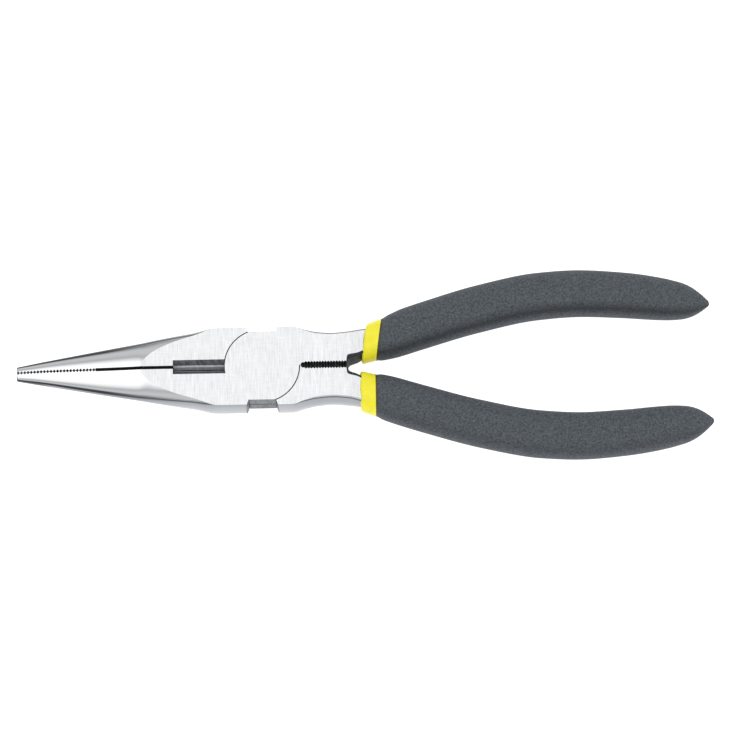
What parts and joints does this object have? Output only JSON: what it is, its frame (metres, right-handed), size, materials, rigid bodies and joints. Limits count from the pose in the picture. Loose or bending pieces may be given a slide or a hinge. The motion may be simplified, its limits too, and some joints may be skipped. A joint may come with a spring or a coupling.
{
  "type": "needle nose pliers",
  "caption": "Long nose pliers with serrated tapering jaws, a wire cutter, a crimping slot behind the joint and two-colour dipped grips, joined by a flush rivet.",
  "frame": {"origin": "on the pivot axis, in the joint's flat back face", "axes": "+Z along the pivot axis towards the front face, +X back to the handle ends, +Y towards the front lever's handle"},
  "size_m": [0.1996, 0.0558, 0.0112],
  "materials": {
    "forged_steel": "ground flat faces, polished nose, dark unpolished inner walls",
    "rivet_steel": "ground flush with the joint",
    "yellow_vinyl": "smooth dipped vinyl, semi-gloss",
    "grey_vinyl": "matte dipped vinyl with a fine foamed grain"
  },
  "bodies": {
    "back_half": {"back_lever": "forged_steel", "back_grip_liner": "yellow_vinyl", "back_grip_sleeve": "grey_vinyl", "pivot_rivet": "rivet_steel"},
    "front_half": {"front_lever": "forged_steel", "front_grip_liner": "yellow_vinyl", "front_grip_sleeve": "grey_vinyl"}
  },
  "joints": [
    {"name": "jaw_pivot", "type": "hinge", "parent": "back_half", "child": "front_half", "pos_m": [0, 0, 0.0051], "axis": [0, 0, 1], "range_deg": [0, 42]}
  ]
}
